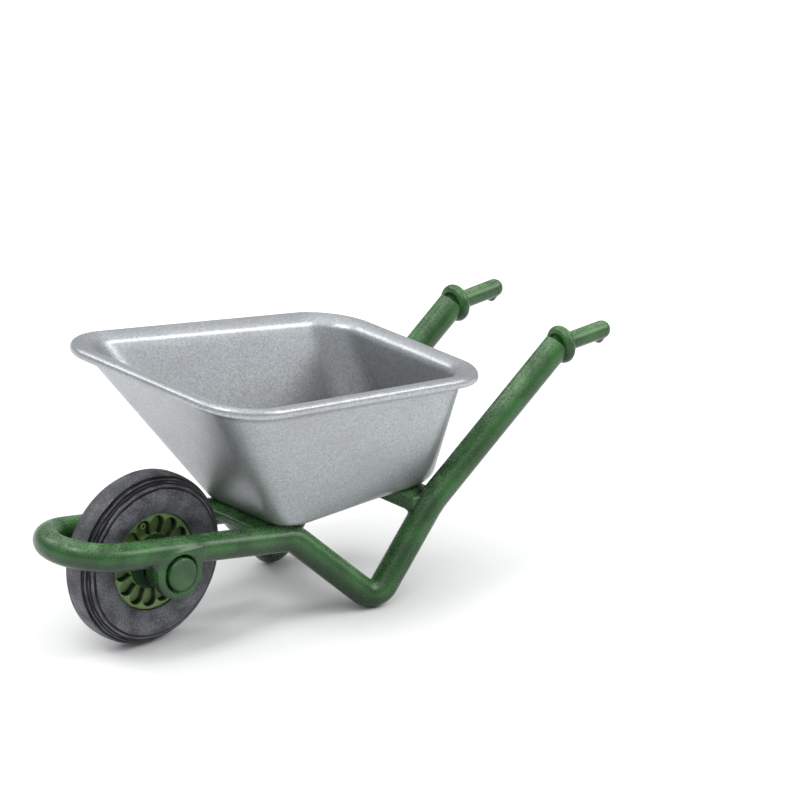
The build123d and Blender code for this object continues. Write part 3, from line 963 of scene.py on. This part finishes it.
def trapezoid_ring(front, rear, inset, corners, lift):
    """Points round a trapezoid with rounded corners, the same number on every ring."""
    front, rear = np.array(front), np.array(rear)
    run = np.array((front[0] - rear[0], 0, front[2] - rear[2]))
    along, middle = unit(run), (front + rear) / 2 * (1, 0, 1)
    normal = np.array((-along[2], 0, along[0]))
    half_length = np.linalg.norm(run) / 2 - inset
    flat = [
        (half_length, front[1] - inset),
        (-half_length, rear[1] - inset),
        (-half_length, inset - rear[1]),
        (half_length, inset - front[1]),
    ]
    front_bend, rear_bend = corners[0] - inset, corners[1] - inset
    radii = [front_bend, rear_bend, rear_bend, front_bend]
    bent, straight = 22, 16
    corner_points = rounded_outline(flat, radii, bent).reshape(4, bent + 1, 2)
    points = []
    for i in range(4):
        points.extend(corner_points[i])
        last, first = corner_points[i][-1], corner_points[(i + 1) % 4][0]
        points.extend(last + (first - last) * k / straight for k in range(1, straight))
    points = np.array(points)
    return middle + normal * lift + points[:, :1] * along + points[:, 1:] * (0, 1, 0)


def folded_sheet(key_rings, radii, spacing=1.6, bends=7):
    """Rings of a sheet that runs from one key ring to the next and is rounded at each fold.

    Each ring's mark says which fold it lies on, or halfway between folds, and how far along.
    """
    rings, marks = [], []
    left_off = key_rings[0]
    for index in range(1, len(key_rings)):
        corner = key_rings[index]
        last = index == len(key_rings) - 1
        if last:
            entry = corner
        else:
            back, on = unit(key_rings[index - 1] - corner), unit(key_rings[index + 1] - corner)
            cosine = np.clip((back * on).sum(axis=1), -1, 1)
            half = np.arccos(cosine)[:, None] / 2
            reach = radii[index] / np.tan(half)
            centre = corner + unit(back + on) * radii[index] / np.sin(half)
            entry, leave = corner + back * reach, corner + on * reach
        steps = max(1, int(np.linalg.norm(entry - left_off, axis=1).mean() / spacing))
        for k in range(steps):
            rings.append(left_off + (entry - left_off) * k / steps)
            marks.append((index - 0.5, k / steps))
        if last:
            rings.append(corner)
            marks.append((index, 0.5))
            break
        turn = math.pi - 2 * half
        for k in range(bends):
            rings.append(centre + swing(entry - centre, leave - centre, k / bends, turn))
            marks.append((index, k / bends))
        left_off = leave
    return rings, marks


def shrunk(ring, share):
    """The ring, drawn in towards its middle."""
    middle = ring.mean(axis=0)
    return middle + (ring - middle) * share


def tray_piece(material):
    """The tub with its rolled lip, one closed sheet from the outer floor to the inner floor."""

    def at_rim(inset, lift):
        return trapezoid_ring(RIM_FRONT, RIM_REAR, inset, RIM_CORNERS, lift)

    def at_floor(inset, lift):
        return trapezoid_ring(FLOOR_FRONT, FLOOR_REAR, inset, FLOOR_CORNERS, lift)

    outer_floor, inner_floor = at_floor(0, 0), at_floor(WALL_T, FLOOR_T)
    key_rings = [
        shrunk(outer_floor, 0.03),
        outer_floor,
        at_rim(LIP_OVERHANG, -LIP_H),
        at_rim(0, -LIP_H),
        at_rim(0, 0.05),
        at_rim(SHOULDER_IN, -SHOULDER_DROP),
        inner_floor,
        shrunk(inner_floor, 0.03),
    ]
    rings, marks = folded_sheet(key_rings, TRAY_BENDS)
    # Painted shade: full in the crease under the lip, growing darker down the inner wall, and on
    # the inner floor.
    shade_and_wash_levels = []
    for index, share in marks:
        level = TRAY_SHADES.get(index, 0.0)
        if index == INNER_WALL:
            level = INNER_SHADE_TOP + INNER_SHADE_GAIN * share**INNER_SHADE_POWER
        shade_and_wash_levels.append(level)
    shade_and_wash_levels = np.repeat(shade_and_wash_levels, len(rings[0]))
    faces = skin(rings, end_caps=True)
    thing = as_object("tray_shell", np.concatenate(rings), faces, shade_and_wash_levels)
    thing.data.materials.append(material)
    return face_outwards(thing)


# ---------------------------------------------------------------- build

silver = silver_spray_paint()
green = green_frame_paint()
olive = olive_rim_paint()
shaded_hub_green = shaded_green_hub_paint()
charcoal = grey_tyre_paint()
steel = turned_steel()
bars = bar_tree(green)

pieces = [
    (tray_piece(silver), "barrow", "tray_paint", ["tray"]),
    (
        frame_piece(green, bars),
        "barrow",
        "frame_green",
        [
            "front_loop",
            "side_tube_left",
            "side_tube_right",
            "handle_tube_left",
            "handle_tube_right",
            "axle_bracket_left",
            "axle_bracket_right",
            "front_bearer",
            "rear_bearer",
        ],
    ),
    (grip_piece(1, green, bars), "barrow", "frame_green", ["collar_left", "grip_left"]),
    (grip_piece(-1, green, bars), "barrow", "frame_green", ["collar_right", "grip_right"]),
    (axle_cap_piece(1, green), "barrow", "frame_green", ["axle_cap_left"]),
    (axle_cap_piece(-1, green), "barrow", "frame_green", ["axle_cap_right"]),
    (tyre_piece(charcoal), "wheel", "tyre_grey", ["tyre"]),
    (rim_piece(olive, shaded_hub_green), "wheel", "rim_green", ["rim_left", "rim_right"]),
    (valve_piece(olive), "wheel", "rim_green", ["valve_stem"]),
]
for piece, body, slot_name, nodes in pieces:
    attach(piece, body)
    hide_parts(*nodes)

for node, material in (
    ("axle_pin", steel),
    ("axle_washers", steel),
    ("tray_screws_front", steel),
    ("tray_screws_rear", steel),
    ("hub_bush", olive),
):
    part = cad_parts[node]
    part.data.materials.clear()
    part.data.materials.append(material)

# ---------------------------------------------------------------- stage

VIEW_TARGET = Vector((-20.3, 0, 28.7)) * MM
VIEW_FROM = Vector((630.2, 765.1, 404.6)) * MM
FOCAL_LENGTH, SENSOR = 287.2, 36.0
FLOOR_HALF = 3000  # half the floor's side


def aim(thing, target):
    """Points a lamp's or a camera's -Z at a target, kept upright."""
    thing.rotation_euler = (target - thing.location).to_track_quat("-Z", "Y").to_euler()


def soft_lamp(name, place, size, power):
    """A square white lamp that shines at the barrow."""
    light = bpy.data.lights.new(name, "AREA")
    light.size, light.energy = size, power
    lamp = linked(name, light)
    lamp.location = place
    aim(lamp, VIEW_TARGET)


floor_signs = ((-1, -1, 0), (1, -1, 0), (1, 1, 0), (-1, 1, 0))
floor = as_object("floor", np.array(floor_signs) * FLOOR_HALF, [(0, 1, 2, 3)])
floor.data.materials.append(pale_floor())

view = (VIEW_FROM - VIEW_TARGET).normalized()
right = Vector((0, 0, 1)).cross(view).normalized()
key_away = -0.35 * right + 0.35 * view + Vector((0, 0, 0.6))
# Each lamp's way from the barrow, its size in metres and its power in watts
for name, away, size, power in (
    ("key_lamp", key_away, 0.25, 2.2),
    ("side_lamp", Vector((-0.56, 0.46, 0.5)), 0.42, 2.7),
    ("far_lamp", Vector((0.3, -0.64, 0.54)), 0.3, 1.1),
    ("ceiling_panel", Vector((0, 0, 0.8)), 2.0, 11.0),
):
    soft_lamp(name, VIEW_TARGET + away, size, power)


def studio_world():
    """Soft white surroundings, brighter overhead than at the horizon."""
    surroundings = bpy.data.worlds.new("studio")
    surroundings.use_nodes = True
    tree = surroundings.node_tree
    tree.nodes.clear()
    way = put(tree, "ShaderNodeTexCoord").outputs["Generated"]
    up = put(tree, "ShaderNodeSeparateXYZ", {"Vector": way}).outputs["Z"]
    colour = mixed(tree, ramp(tree, up, 0.1, 0.9), srgb("#e3e6ea"), srgb("#ffffff"))
    back = put(tree, "ShaderNodeBackground", {"Color": colour, "Strength": 0.54})
    put(tree, "ShaderNodeOutputWorld", {"Surface": back.outputs[0]})
    return surroundings


bpy.context.scene.world = studio_world()
bpy.context.scene.view_settings.view_transform = "Standard"

camera_data = bpy.data.cameras.new("camera")
camera_data.lens, camera_data.sensor_width = FOCAL_LENGTH, SENSOR
camera_data.clip_start, camera_data.clip_end = 0.01, 20
camera = linked("camera", camera_data)
camera.location = VIEW_FROM
aim(camera, VIEW_TARGET)
bpy.context.scene.camera = camera
